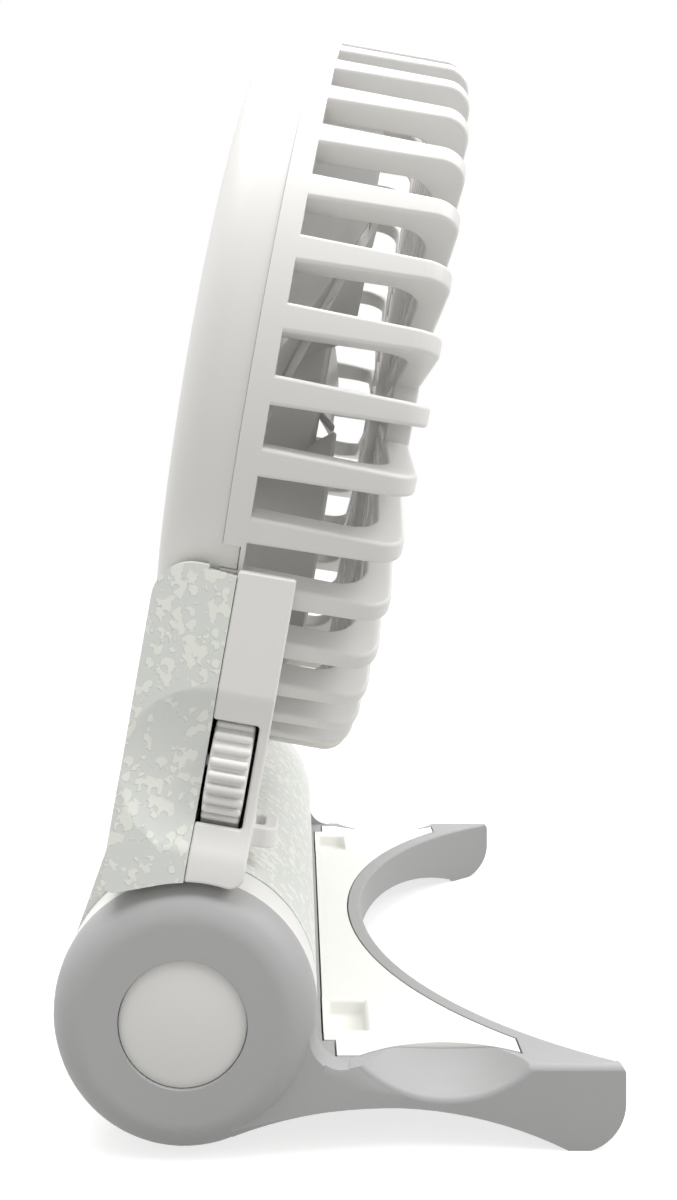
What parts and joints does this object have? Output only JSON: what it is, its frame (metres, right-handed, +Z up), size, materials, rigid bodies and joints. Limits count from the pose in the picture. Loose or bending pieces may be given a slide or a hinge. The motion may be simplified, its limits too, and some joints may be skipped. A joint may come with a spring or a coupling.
{
  "type": "handheld fan",
  "caption": "Rechargeable fan with a round ribbed head in a cradle-shaped body that folds on a barrel hinge over a U-shaped base, with a thumb wheel and lanyard loops.",
  "frame": {"origin": "under the middle of the fan, on the surface that it stands on", "axes": "+Z up, the fan faces -Y and leans 10 degrees that way, the hinge axis runs along X"},
  "size_m": [0.11, 0.0692, 0.1503],
  "materials": {
    "grey_plastic": "moulded, fine matt texture",
    "panel_plastic": "moulded, matt",
    "cap_plastic": "moulded, satin",
    "white_plastic": "moulded, satin",
    "speckled_plastic": "moulded with lighter flakes, matt",
    "blade_plastic": "moulded, smooth",
    "steel": "plated",
    "bush_brass": "turned",
    "cell_jacket": "shrink jacket",
    "board_laminate": "lacquered laminate"
  },
  "bodies": {
    "base": {"base_frame": "grey_plastic", "base_panel": "panel_plastic", "ear_cover_left": "white_plastic", "ear_cover_right": "white_plastic", "ear_cap_left": "cap_plastic", "ear_cap_right": "cap_plastic", "pivot_screw_left": "steel", "pivot_screw_right": "steel", "hinge_washers": "steel"},
    "body": {"rear_shell": "speckled_plastic", "front_shell": "white_plastic", "hinge_bush_left": "white_plastic", "hinge_bush_right": "white_plastic", "battery_cradle": "white_plastic", "battery_cell": "cell_jacket", "battery_contacts": "steel", "circuit_board": "board_laminate", "speed_control": "steel", "charge_socket": "steel", "shell_screws": "steel", "rear_cover": "white_plastic", "front_cage": "white_plastic", "centre_cap": "cap_plastic", "motor": "steel", "motor_bush": "bush_brass", "motor_screws": "steel"},
    "wheel": {"thumb_wheel": "white_plastic"},
    "fan": {"impeller": "blade_plastic", "motor_shaft": "steel"}
  },
  "joints": [
    {"name": "fold", "type": "hinge", "parent": "base", "child": "body", "pos_m": [0, 0.01855, 0.0165], "axis": [1, 0, 0], "range_deg": [-100, 80]},
    {"name": "wheel_turn", "type": "hinge", "parent": "body", "child": "wheel", "pos_m": [-0.0442, 0.01345, 0.04545], "axis": [0, -0.9848, -0.1736], "range_deg": [0, 270]},
    {"name": "fan_spin", "type": "hinge", "parent": "body", "child": "fan", "pos_m": [0, 0.00473, 0.09489], "axis": [0, -0.9848, -0.1736], "continuous": true}
  ]
}
